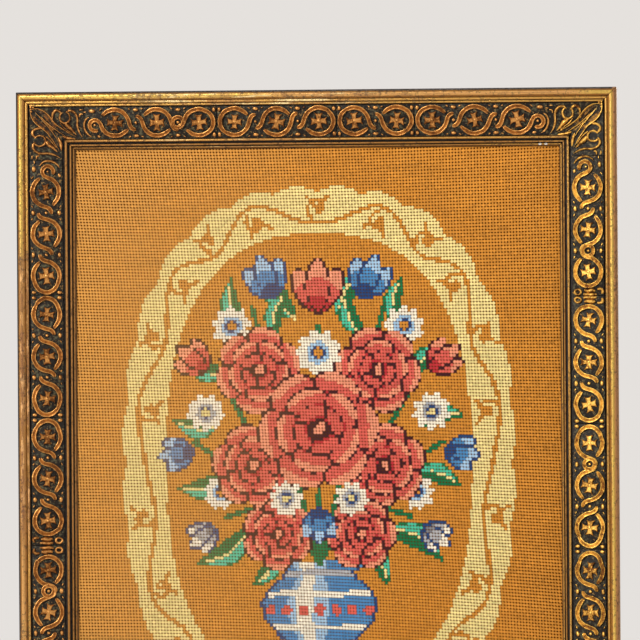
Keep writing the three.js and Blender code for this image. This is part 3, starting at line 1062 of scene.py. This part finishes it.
class Chart:
    """The colour of each stitch. x and y are measured from the picture's middle, y upwards."""

    def __init__(self, x, y):
        self.x, self.y = x, y
        self.yarn = np.zeros(len(x), int)

    def paint(self, mask, yarn):
        self.yarn[mask] = YARN_NAMES.index(yarn)

    def local(self, cx, cy, degrees):
        """Coordinates round a point: one along the direction, one across it."""
        angle = math.radians(degrees)
        dx, dy = self.x - cx, self.y - cy
        along = dx * math.cos(angle) + dy * math.sin(angle)
        return along, dy * math.cos(angle) - dx * math.sin(angle)

    def petal(self, cx, cy, degrees, length, width, tones, outline, blunt):
        """A petal from its foot at cx, cy. Tones run from its foot to its rim."""
        along, across = self.local(cx, cy, degrees)
        share = np.clip(along / length, 0, 1)
        half = width / 2 * np.sin(math.pi * share ** (0.62 + 0.5 * blunt)) ** 0.6
        half = np.where((along > 0) & (along < length), half, -1)
        depth = half - np.abs(across)
        rim = np.minimum(depth, (length - along) * 0.9)
        self.paint(depth > 0, outline or tones[0])
        line = STITCH_PITCH if outline else 0
        inner = (depth > 0.75 * line) & (rim > 0.6 * line)
        level = share + 0.16 * np.abs(across) / width
        for k, tone in enumerate(tones):
            self.paint(inner & (level >= k / len(tones)), tone)

    def oval(self, cx, cy, a, b, yarn, degrees=0):
        along, across = self.local(cx, cy, degrees)
        self.paint((along / a) ** 2 + (across / b) ** 2 < 1, yarn)

    def stroke(self, points, width, yarn, within=None):
        """A line of this width through the points."""
        near = np.full(len(self.x), np.inf)
        for (x0, y0), (x1, y1) in zip(points, points[1:]):
            dx, dy = x1 - x0, y1 - y0
            share = np.clip(((self.x - x0) * dx + (self.y - y0) * dy) / (dx * dx + dy * dy + 1e-9), 0, 1)
            near = np.minimum(near, np.hypot(self.x - x0 - share * dx, self.y - y0 - share * dy))
        mask = near < width / 2
        self.paint(mask if within is None else mask & within, yarn)

    def leaf(self, cx, cy, degrees, length, width):
        """A bent leaf, pale along its vein and light on one side."""
        along, across = self.local(cx, cy, degrees)
        share = np.clip(along / length, 0, 1)
        bend = across - width * 0.35 * np.sin(math.pi * share)
        half = np.where((along > 0) & (along < length), width / 2 * np.sin(math.pi * share ** 0.8), -1)
        inside = np.abs(bend) < half
        self.paint(inside, "green")
        self.paint(inside & (bend > 0.9) & (half - bend > 1.4), "turquoise")
        self.paint(inside & (np.abs(bend) < 0.9) & (share < 0.85), "cream")

    def rose(self, cx, cy, size, turn):
        """A full rose: three rings of petals and a furled heart."""
        # Each ring: petals, how far out their feet are, their length and width, share of a step.
        rings = ((6, 0.30, 0.74, 0.86, 0.0), (5, 0.12, 0.62, 0.74, 0.5), (4, 0.0, 0.44, 0.56, 0.2))
        for count, foot, length, width, offset in rings:
            for k in range(count):
                degrees = turn + 360 * (k + offset) / count
                fx = cx + size * foot * math.cos(math.radians(degrees))
                fy = cy + size * foot * math.sin(math.radians(degrees))
                tones = ("crimson", "crimson", "coral", "salmon") if length > 0.6 else ("crimson", "coral")
                self.petal(fx, fy, degrees, size * length, size * width, tones, "maroon", 1.6)
        self.oval(cx, cy, size * 0.20, size * 0.17, "maroon", turn)
        self.oval(cx + size * 0.02, cy + size * 0.02, size * 0.13, size * 0.09, "salmon", turn + 40)

    def bell(self, cx, cy, size, degrees, tones, edge):
        """A bellflower or tulip, opening in this direction."""
        for swing, length in ((-26, 0.95), (26, 0.95), (0, 1.05)):
            self.petal(cx, cy, degrees + swing, size * length, size * 0.5, tones, edge, 0.9)

    def daisy(self, cx, cy, size, turn, tones, heart):
        """Nine petals round a ringed heart."""
        for k in range(9):
            self.petal(cx, cy, turn + 40 * k, size, size * 0.52, tones, None, 1.3)
        self.oval(cx, cy, size * 0.30, size * 0.30, "navy")
        self.oval(cx, cy, size * 0.21, size * 0.21, heart)


# The cream band: half its width and height outside and inside, and how square its oval is.
BAND_OUTSIDE = (131.0, 184.0)
BAND_INSIDE = (103.0, 154.0)
SQUARENESS = 2.5
SCALLOPS = 28
SCALLOP_DEPTH = 0.022

# The vine that runs along it. Each half wave holds a scroll and a pair of leaves.
WAVES = 22
STEPS_A_WAVE = 12
WAVE_SWING = 0.048
VINE_WIDTH = 2.7
SPRIG_WIDTH = 2.6
SCROLL_RADIUS = 7.2
SPRIG_LENGTH = 10.5


def ring_point(share, half_width, half_height):
    """A point on a squared oval, at this share of the way round from the right."""
    angle = 2 * math.pi * share
    power = 2 / SQUARENESS
    c, s = math.cos(angle), math.sin(angle)
    return (
        half_width * math.copysign(abs(c) ** power, c),
        half_height * math.copysign(abs(s) ** power, s),
    )


def chart_scroll(chart, x, y, outwards, side, band):
    """One scroll of the vine, on the outer or the inner side, and its two leaves."""
    cx = x - side * 2.2 * math.cos(outwards)
    cy = y - side * 2.2 * math.sin(outwards)
    spiral = []
    for k in range(16):
        radius = SCROLL_RADIUS * (1 - k / 19)
        turn = outwards + (0 if side > 0 else math.pi) + side * (0.5 + k * 0.42)
        spiral.append((cx + radius * math.cos(turn), cy + radius * math.sin(turn)))
    chart.stroke(spiral, SPRIG_WIDTH, "ochre", band)
    tip = outwards + (math.pi if side > 0 else 0)
    foot_x = cx - side * 0.5 * math.cos(outwards)
    foot_y = cy - side * 0.5 * math.sin(outwards)
    for lean in (-0.8, 0.8):
        end_x = foot_x + SPRIG_LENGTH * math.cos(tip + lean)
        end_y = foot_y + SPRIG_LENGTH * math.sin(tip + lean)
        chart.stroke([(foot_x, foot_y), (end_x, end_y)], SPRIG_WIDTH, "ochre", band)


def chart_cartouche(chart):
    """A cream band with a scalloped edge and a running vine of scrolls."""
    def reach(sizes):
        power = SQUARENESS
        return (np.abs(chart.x / sizes[0]) ** power + np.abs(chart.y / sizes[1]) ** power) ** (1 / power)
    angle = np.arctan2(chart.y / BAND_OUTSIDE[1], chart.x / BAND_OUTSIDE[0])
    scallop = 1 + SCALLOP_DEPTH * (np.abs(np.sin(angle * SCALLOPS / 2)) - 0.5)
    band = (reach(BAND_OUTSIDE) < scallop) & (reach(BAND_INSIDE) > 1)
    chart.paint(band, "cream")
    middle = [(a + b) / 2 for a, b in zip(BAND_OUTSIDE, BAND_INSIDE)]
    vine = []
    for k in range(WAVES * STEPS_A_WAVE + 1):
        share = k / (WAVES * STEPS_A_WAVE)
        x, y = ring_point(share, *middle)
        swing = 1 + WAVE_SWING * math.sin(math.pi * WAVES * share)
        vine.append((x * swing, y * swing))
    chart.stroke(vine, VINE_WIDTH, "ochre", band)
    for k in range(WAVES):
        x, y = ring_point((k + 0.5) / WAVES, *middle)
        outwards = math.atan2(y / middle[1] ** 2, x / middle[0] ** 2)
        chart_scroll(chart, x, y, outwards, 1 if k % 2 == 0 else -1, band)


# The urn: half its width at each height, and its hoops, each from a height to a height.
URN_PROFILE = (
    (-142, 24), (-137, 26), (-134, 15), (-129, 9), (-125, 12), (-118, 26), (-106, 37), (-94, 40),
    (-84, 34), (-77, 25), (-73, 24), (-69, 32), (-66, 33),
)
URN_HOOPS = ((-90, -86, "white"), (-112, -109, "white"), (-131, -127, "silver"), (-76, -72, "silver"))


def chart_urn(chart):
    """A blue and white urn on a foot, shaded from left to right."""
    heights, widths = zip(*URN_PROFILE)
    half = np.interp(chart.y, heights, widths, left=-1, right=-1)
    inside = np.abs(chart.x) < half
    share = chart.x / np.maximum(half, 1)
    chart.paint(inside, "navy")
    body = np.abs(chart.x) < half - 2.2
    chart.paint(body, "blue")
    chart.paint(body & (share > -0.55) & (share < 0.15), "sky")
    chart.paint(body & (share > -0.42) & (share < -0.12), "white")
    for low, high, yarn in URN_HOOPS:
        chart.paint(body & (chart.y > low) & (chart.y < high), yarn)
    for k in range(-3, 4):
        chart.oval(k * 11, -99, 3.6, 3.6, "coral")


# The right half of the bunch. The left half mirrors it. All places are x, y from the middle.
STEMS = ((0, 92), (44, 104), (72, 66), (84, 14), (62, -36))
# Leaves: x, y, direction, length, width.
LEAVES = (
    (14, 96, 62, 40, 15), (52, 92, 80, 34, 13), (60, 60, 22, 34, 14), (66, 26, 8, 34, 15),
    (62, -8, -14, 36, 15), (46, -44, -32, 44, 17), (30, -58, -58, 30, 13), (30, 84, 108, 34, 13),
)
RED_BELL = (("crimson", "coral", "salmon"), "maroon")
GREY_BELL = (("grey", "silver", "white"), "navy")
BLUE_BELL = (("navy", "blue", "sky"), "navy")
# Bells: x, y, size, direction, colours.
BELLS = (
    (30, 110, 30, 72, BLUE_BELL), (74, 62, 26, 38, RED_BELL), (84, 8, 24, -8, BLUE_BELL),
    (70, -42, 22, -40, GREY_BELL),
)
GREY_DAISY = (("silver", "white"), "cream")
SKY_DAISY = (("sky", "white"), "ochre")
# Daisies: x, y, size, turn, colours.
DAISIES = ((58, 92, 14, 12, SKY_DAISY), (76, 34, 13, 30, GREY_DAISY), (66, -20, 12, 5, SKY_DAISY))
# Roses: x, y, size, turn.
ROSES = ((40, 62, 29, 0), (44, -2, 28, 30), (28, -48, 24, 10))


def chart_bouquet(chart):
    """A symmetrical bunch: roses in the middle, bells and daisies round them, leaves behind."""
    for x, y in STEMS:
        for side in (-1, 1):
            chart.stroke([(0, -68), (side * x * 0.35, -20 + y * 0.1), (side * x, y)], 3.4, "green")
    for side in (-1, 1):
        def mirrored(degrees):
            return degrees if side > 0 else 180 - degrees
        for x, y, degrees, length, width in LEAVES:
            chart.leaf(side * x, y, mirrored(degrees), length, width)
        for x, y, size, degrees, colours in BELLS:
            chart.bell(side * x, y, size, mirrored(degrees), *colours)
        for x, y, size, turn, colours in DAISIES:
            chart.daisy(side * x, y, size, turn, *colours)
    chart.bell(0, 100, 36, 90, *RED_BELL)
    for side, side_turn in ((-1, 20), (1, 50)):
        for x, y, size, turn in ROSES:
            chart.rose(side * x, y, size, side_turn + turn)
    chart.daisy(0, 74, 16, 20, *SKY_DAISY)
    chart.rose(0, 22, 40, 6)
    chart.daisy(-22, -24, 12, 10, *GREY_DAISY)
    chart.daisy(22, -24, 12, 30, *GREY_DAISY)
    chart.bell(0, -30, 24, -90, *BLUE_BELL)


def chart_colours(x, y):
    """The yarn of each stitch, as a place in YARN_NAMES."""
    chart = Chart(x, y)
    chart_cartouche(chart)
    chart_urn(chart)
    chart_bouquet(chart)
    return chart.yarn


# ------------------------------------------------------------------ stitches

# How the canvas was pulled out of square when it was stretched. All of it leans by the same share
# of its depth. Near its top edge the columns draw in towards each other, and further down they lean
# again. A row runs on a curve, from one shape at the top to another at the full depth.
EVEN_LEAN = 0.05
TOP_PULL = 90.0
TOP_LEAN = 0.025
DRAWN_IN = 0.105
LOW_LEAN = 6.0
FULL_DEPTH = 300.0
ROW_SWING = 163.0


def warped(gx, gy):
    """Where a grid point of the canvas lies, measured from the middle of the sight's top, y down."""
    across = gx / SIGHT_HALF_WIDTH
    depth = np.clip(gy / FULL_DEPTH, 0, 1)
    eased = 1 - np.exp(-np.maximum(gy, -5) / TOP_PULL)
    lean = EVEN_LEAN * gy + TOP_PULL * eased * (TOP_LEAN - DRAWN_IN * across)
    lean = lean + LOW_LEAN * depth * depth * (0.5 + 0.5 * across)
    top_row = -0.015 * across - 0.0225 * across * across
    low_row = 0.05 * across + 0.02 * across * across
    return gx + lean, gy + ROW_SWING * (top_row * (1 - depth) + low_row * depth)


GRID_COLUMNS = (-100, 90)
GRID_ROWS = (-8, 212)
TUCKED_UNDER = 0.9


def stitch_grid():
    """The two holes of each stitch whose middle shows, low left and high right."""
    columns, rows = np.meshgrid(np.arange(*GRID_COLUMNS), np.arange(*GRID_ROWS))
    columns, rows = columns.ravel(), rows.ravel()
    x0, y0 = warped(columns * STITCH_PITCH, (rows + 1) * STITCH_PITCH)
    x1, y1 = warped((columns + 1) * STITCH_PITCH, rows * STITCH_PITCH)
    middle_x, middle_y = (x0 + x1) / 2, (y0 + y1) / 2
    shown = np.abs(middle_x) < SIGHT_HALF_WIDTH + TUCKED_UNDER
    shown &= (middle_y > -TUCKED_UNDER) & (middle_y < SIGHT_HEIGHT + TUCKED_UNDER)
    low_left = np.column_stack((x0, SIGHT_TOP - y0))[shown]
    high_right = np.column_stack((x1, SIGHT_TOP - y1))[shown]
    return low_left, high_right


# One stitch: share of the way from its middle to its hole, share of its half width, height above
# the canvas and how much painted shade darkens it at the hole. It closes up with its neighbours except at the
# holes.
STITCH_POINTS = (
    (-0.84, -0.45, -0.5, 1.6), (-0.84, 0.45, -0.5, 1.6),
    (-0.62, -1.04, 0.54, 0.0), (-0.62, 0.0, 0.56, 0.0), (-0.62, 1.04, 0.54, 0.0),
    (0.0, -1.4, 0.55, 0.0), (0.0, 0.0, 0.62, 0.0), (0.0, 1.4, 0.55, 0.0),
    (0.62, -1.04, 0.54, 0.0), (0.62, 0.0, 0.56, 0.0), (0.62, 1.04, 0.54, 0.0),
    (0.84, -0.45, -0.5, 1.6), (0.84, 0.45, -0.5, 1.6),
)
STITCH_TOP = ((5, 6, 3, 2), (6, 7, 4, 3), (8, 9, 6, 5), (9, 10, 7, 6))
STITCH_ENDS = ((2, 3, 0), (3, 1, 0), (3, 4, 1), (11, 9, 8), (11, 12, 9), (12, 10, 9))
STITCH_UNDERSIDE = ((2, 0, 1, 4), (5, 2, 4, 7), (8, 5, 7, 10), (11, 8, 10, 12))
HALF_STITCH = 0.75
STITCH_SHIFT = 0.015
STITCH_SINK = 0.02
# By the frame's lip a stitch is this share of its height, and full from this far in.
LIP_HEIGHT = 0.45
LIP_REACH = 1.5


def stitch_mesh(name, points):
    """The mesh of many stitches, from the points of each."""
    count = len(points) // len(STITCH_POINTS)
    faces = STITCH_TOP + STITCH_ENDS + STITCH_UNDERSIDE
    pattern = np.concatenate([np.array(face) for face in faces])
    loops = (pattern[None, :] + len(STITCH_POINTS) * np.arange(count)[:, None]).ravel()
    totals = np.tile([len(face) for face in faces], count)
    starts = np.concatenate(([0], np.cumsum(totals)[:-1]))
    mesh = bpy.data.meshes.new(name)
    mesh.vertices.add(len(points))
    mesh.vertices.foreach_set("co", points.astype(np.float32).ravel())
    mesh.loops.add(len(loops))
    mesh.loops.foreach_set("vertex_index", loops.astype(np.int32))
    mesh.polygons.add(len(totals))
    mesh.polygons.foreach_set("loop_start", starts.astype(np.int32))
    mesh.update(calc_edges=True)
    mesh.validate()
    return mesh


def make_stitches(name, low_left, high_right, tone, material):
    """One joined piece of tent stitches."""
    count = len(low_left)
    draw = np.random.default_rng(count)
    middle = (low_left + high_right) / 2
    reach = (high_right - low_left) / 2
    side = np.column_stack((-reach[:, 1], reach[:, 0])) / np.linalg.norm(reach, axis=1)[:, None]
    fat = HALF_STITCH * draw.uniform(0.98, 1.02, count)
    inset = np.minimum(SIGHT_HALF_WIDTH - np.abs(middle[:, 0]), SIGHT_TOP - np.abs(middle[:, 1]))
    full = LIP_HEIGHT + (1 - LIP_HEIGHT) * np.clip(inset / LIP_REACH, 0, 1)
    rise = draw.uniform(0.97, 1.03, count) * full
    middle = middle + draw.normal(0, STITCH_SHIFT, (count, 2))
    corners = []
    for along, across, up, _ in STITCH_POINTS:
        x, z = (middle + along * reach + (across * fat)[:, None] * side).T
        y = -(CLOTH_FRONT + up * rise - STITCH_SINK)
        corners.append(np.column_stack((x, y, z + MIDDLE_Z)))
    piece = placed(name, stitch_mesh(name, np.stack(corners, axis=1).reshape(-1, 3) * MM))
    note(piece, "tone", np.repeat(tone, len(STITCH_POINTS)))
    note(piece, "sunk", np.tile([point[3] for point in STITCH_POINTS], count))
    return finish(piece, material=material, smooth_angle=25)


def wool(name, tint):
    """One dyed yarn: fibres along the stitch, each stitch a little lighter or darker, with painted shade
    where it dips into its holes, and paler towards the left.
    """
    yarn = Finish(f"wool_{name}")
    fibres = yarn.bands((0, math.radians(-45), 0), (700.0, 2600.0, 2600.0))
    tone = yarn.attribute("tone")
    dark = tuple(part * 0.58 for part in tint[:3]) + (1.0,)
    hole_shade_tint = tuple(part * share for part, share in zip(tint, (0.3, 0.16, 0.05))) + (1.0,)
    pale = tuple(min(1.0, part * 1.1) for part in tint[:3]) + (1.0,)
    shade = yarn.mix((tone + (fibres - 0.5) * 0.25 + 0.5).clamped(), dark, pale)
    # Painted shade where the stitch dips into its hole.
    shade = yarn.mix((yarn.attribute("sunk") * 1.2).clamped(), shade, hole_shade_tint)
    # Paler and yellower towards the left.
    paler_left = yarn.step(yarn.axis("X") * -1 + (yarn.noise(14.0) - 0.5) * 0.1, -0.04, 0.14)
    shade = yarn.mix(paler_left * 0.3, shade, PALE_LEFT_TINT)
    yarn.set(Base_Color=shade, Roughness=0.7, Specular_IOR_Level=0.15)
    yarn.set(Sheen_Weight=0.08, Sheen_Roughness=0.4, Sheen_Tint=pale)
    yarn.bump(fibres, 0.00015)
    return yarn.material


GROUND_CUTS = (-math.inf, -70, 70, math.inf)
TONE_SPREAD = 0.11
DYE_LOTS = 0.16


def make_needlework():
    """The stitches of each yarn. The ground is three pieces, from the bottom up."""
    low_left, high_right = stitch_grid()
    x, y = ((low_left + high_right) / 2).T
    yarns = chart_colours(x, y)
    draw = np.random.default_rng(7)
    tone = draw.normal(0, TONE_SPREAD, len(x))
    tone += [DYE_LOTS * noise.noise(Vector((a / 45, b / 9, 3.1))) for a, b in zip(x, y)]
    pieces = []
    for index, (name, tint) in enumerate(YARNS.items()):
        material = wool(name, tint)
        used = yarns == index
        bands = [used]
        if name == "ochre":
            bands = [used & (y >= low) & (y < high) for low, high in zip(GROUND_CUTS, GROUND_CUTS[1:])]
        for k, band in enumerate(bands):
            label = f"stitches_{name}" + (f"_{k + 1}" if len(bands) > 1 else "")
            pieces.append(make_stitches(label, low_left[band], high_right[band], tone[band], material))
    return pieces


# ------------------------------------------------------------------ canvas

# Painted shade: the canvas front is dark brown for the shade in the holes between the stitches.
HOLE_SHADE_DARK = colour(58, 28, 2)
HOLE_SHADE_BROWN = colour(92, 50, 6)
BACK_SHADOW = colour(90, 60, 34)
BACK_FIBRE = colour(70, 50, 34)
BACK_UNEVENNESS = 0.12


def canvas_front():
    """The canvas front, seen only between the stitches: dark brown painted shade for the holes, over a fine
    weave.
    """
    canvas = Finish("canvas_hole_shade")
    weave = canvas.noise(900.0, 2.0)
    tint = canvas.mix(weave, HOLE_SHADE_DARK, HOLE_SHADE_BROWN)
    canvas.set(Base_Color=tint, Roughness=0.95, Specular_IOR_Level=0.05)
    canvas.bump(weave, 0.0003)
    return canvas.material


def canvas_back():
    """The back of the work: long slanting ends of every yarn."""
    back = Finish("back_of_the_work")
    tint = back.node("ShaderNodeAttribute", {"attribute_name": "yarn_colour"}, {}, "Color")
    lie = (0, math.radians(25), 0)
    slant = back.bands(lie, (330.0, 1000.0, 1100.0))
    fibres = back.bands(lie, (900.0, 3000.0, 3000.0))
    shaded = back.mix(back.step(slant, 0.3, 0.6), BACK_SHADOW, tint)
    shaded = back.mix(0.35 * fibres, shaded, BACK_FIBRE)
    back.set(Base_Color=shaded, Roughness=0.95, Sheen_Weight=0.2)
    back.bump(slant + fibres * 0.4, 0.0007)
    return back.material


def make_canvas(stitches):
    """The stretched canvas: a closed sheet, its back coloured by the yarns that run over it."""
    columns = round(CLOTH_WIDTH / STITCH_PITCH / 2)
    rows = round(CLOTH_HEIGHT / STITCH_PITCH / 2)
    grid = {"x_subdivisions": columns, "y_subdivisions": rows, "size": 1}
    canvas = started("canvas", bpy.ops.mesh.primitive_grid_add, **grid)
    flat = places(canvas)[:, :2] * (CLOTH_WIDTH, CLOTH_HEIGHT)
    tint = np.array([YARNS[name] for name in YARN_NAMES])[chart_colours(flat[:, 0], flat[:, 1])]
    layer = canvas.data.attributes.new("yarn_colour", "FLOAT_COLOR", "POINT")
    layer.data.foreach_set("color", tint.astype(np.float32).ravel())
    waves = [BACK_UNEVENNESS * noise.noise(Vector((a / 60, b / 60, 0.4))) for a, b in flat]
    back = -(CLOTH_FRONT - CLOTH_THICKNESS) + np.array(waves) - BACK_UNEVENNESS
    move_to(canvas, np.column_stack((flat[:, 0], back, flat[:, 1] + MIDDLE_Z)) * MM)
    push = {"value": (0, -(CLOTH_THICKNESS - BACK_UNEVENNESS) * MM, 0)}
    edit(canvas, lambda: bpy.ops.mesh.extrude_region_move(TRANSFORM_OT_translate=push), outward)
    canvas.data.materials.append(canvas_back())
    canvas.data.materials.append(canvas_front())
    for face in canvas.data.polygons:
        face.material_index = 0 if face.normal.y > 0.5 else 1
    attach(canvas, "root")
    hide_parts("needlepoint")


# ------------------------------------------------------------------ room

FLOOR_PALE = colour(226, 223, 220)
SURROUND = colour(229, 225, 221)
SKY_LIGHT = colour(226, 226, 228)
SKY_STRENGTH = 0.32
WARM_WHITE = (1.0, 0.98, 0.95)


def make_floor():
    """A plain pale floor under the picture."""
    floor = started("floor", bpy.ops.mesh.primitive_plane_add, size=1)
    shape = Matrix.Translation((0, 0.2, LOWEST.z * MM)) @ Matrix.Diagonal((3.4, 3.2, 1, 1))
    floor.data.transform(shape)
    paint = Finish("pale_floor")
    paint.set(Base_Color=FLOOR_PALE, Roughness=0.8)
    floor.data.materials.append(paint.material)


def add_light(name, place, size, power, tint):
    """A soft rectangular light, aimed at the picture's middle."""
    lamp = bpy.data.lights.new(name, "AREA")
    lamp.shape = "RECTANGLE"
    lamp.size, lamp.size_y = size
    lamp.energy = power
    lamp.color = tint
    holder = placed(name, lamp)
    holder.location = place
    aim = Vector((0, 0, MIDDLE_Z * MM)) - Vector(place)
    holder.rotation_euler = aim.to_track_quat("-Z", "Y").to_euler()


def make_room():
    """Soft light from the upper left, a weaker one from the right, and a pale surround."""
    add_light("key", (-1.0, -1.55, 0.8), (0.6, 0.6), 51, WARM_WHITE)
    add_light("fill", (1.9, -0.7, 0.1), (1.0, 1.0), 14, WARM_WHITE)
    add_light("back_fill", (0.4, 1.9, 0.6), (1.4, 1.4), 22, (1, 1, 1))
    world = bpy.data.worlds.new("pale_room")
    bpy.context.scene.world = world
    world.use_nodes = True
    nodes, links = world.node_tree.nodes, world.node_tree.links
    sky = nodes["Background"]
    seen = nodes.new("ShaderNodeBackground")
    for background, tint, strength in ((sky, SKY_LIGHT, SKY_STRENGTH), (seen, SURROUND, 1.0)):
        background.inputs["Color"].default_value = tint
        background.inputs["Strength"].default_value = strength
    path = nodes.new("ShaderNodeLightPath")
    choose = nodes.new("ShaderNodeMixShader")
    links.new(path.outputs["Is Camera Ray"], choose.inputs[0])
    links.new(sky.outputs[0], choose.inputs[1])
    links.new(seen.outputs[0], choose.inputs[2])
    links.new(choose.outputs[0], nodes["World Output"].inputs["Surface"])
    bpy.context.scene.view_settings.view_transform = "Standard"


def make_camera():
    """A long lens a little to the right of the picture, framing its upper three quarters."""
    azimuth, roll, distance = math.radians(4.3), math.radians(0.38), 3.8
    aim = Vector((0.0018, -0.012, -0.1387))
    view_width = 0.4292
    lens = bpy.data.cameras.new("camera")
    lens.sensor_width = 36
    lens.lens = lens.sensor_width * distance / view_width
    lens.clip_end = 20
    camera = placed("camera", lens)
    facing = Matrix.Rotation(azimuth, 4, "Z") @ Matrix.Rotation(math.pi / 2, 4, "X")
    away = Matrix.Translation((0, 0, distance))
    camera.matrix_world = Matrix.Translation(aim) @ facing @ Matrix.Rotation(-roll, 4, "Z") @ away
    bpy.context.scene.camera = camera


# ------------------------------------------------------------------ assembly

gilding = gilded_moulding()
side_paint = bronze_side()
for rail_name, (rail_turn, *_rest) in RAILS.items():
    make_rail(rail_name, rail_turn, (gilding, side_paint, bare_wood(rail_turn % 2 == 1)))

relief_gold = gilded_relief_and_painted_light()
ornament_kit = make_kit()
make_strips(ornament_kit, relief_gold)
for corner_name, corner_turn in CORNERS.items():
    make_corner(f"leaf_{corner_name}", corner_turn, ornament_kit, relief_gold)
discard(*kit_pieces(ornament_kit))

make_canvas(make_needlework())

make_floor()
make_room()
make_camera()
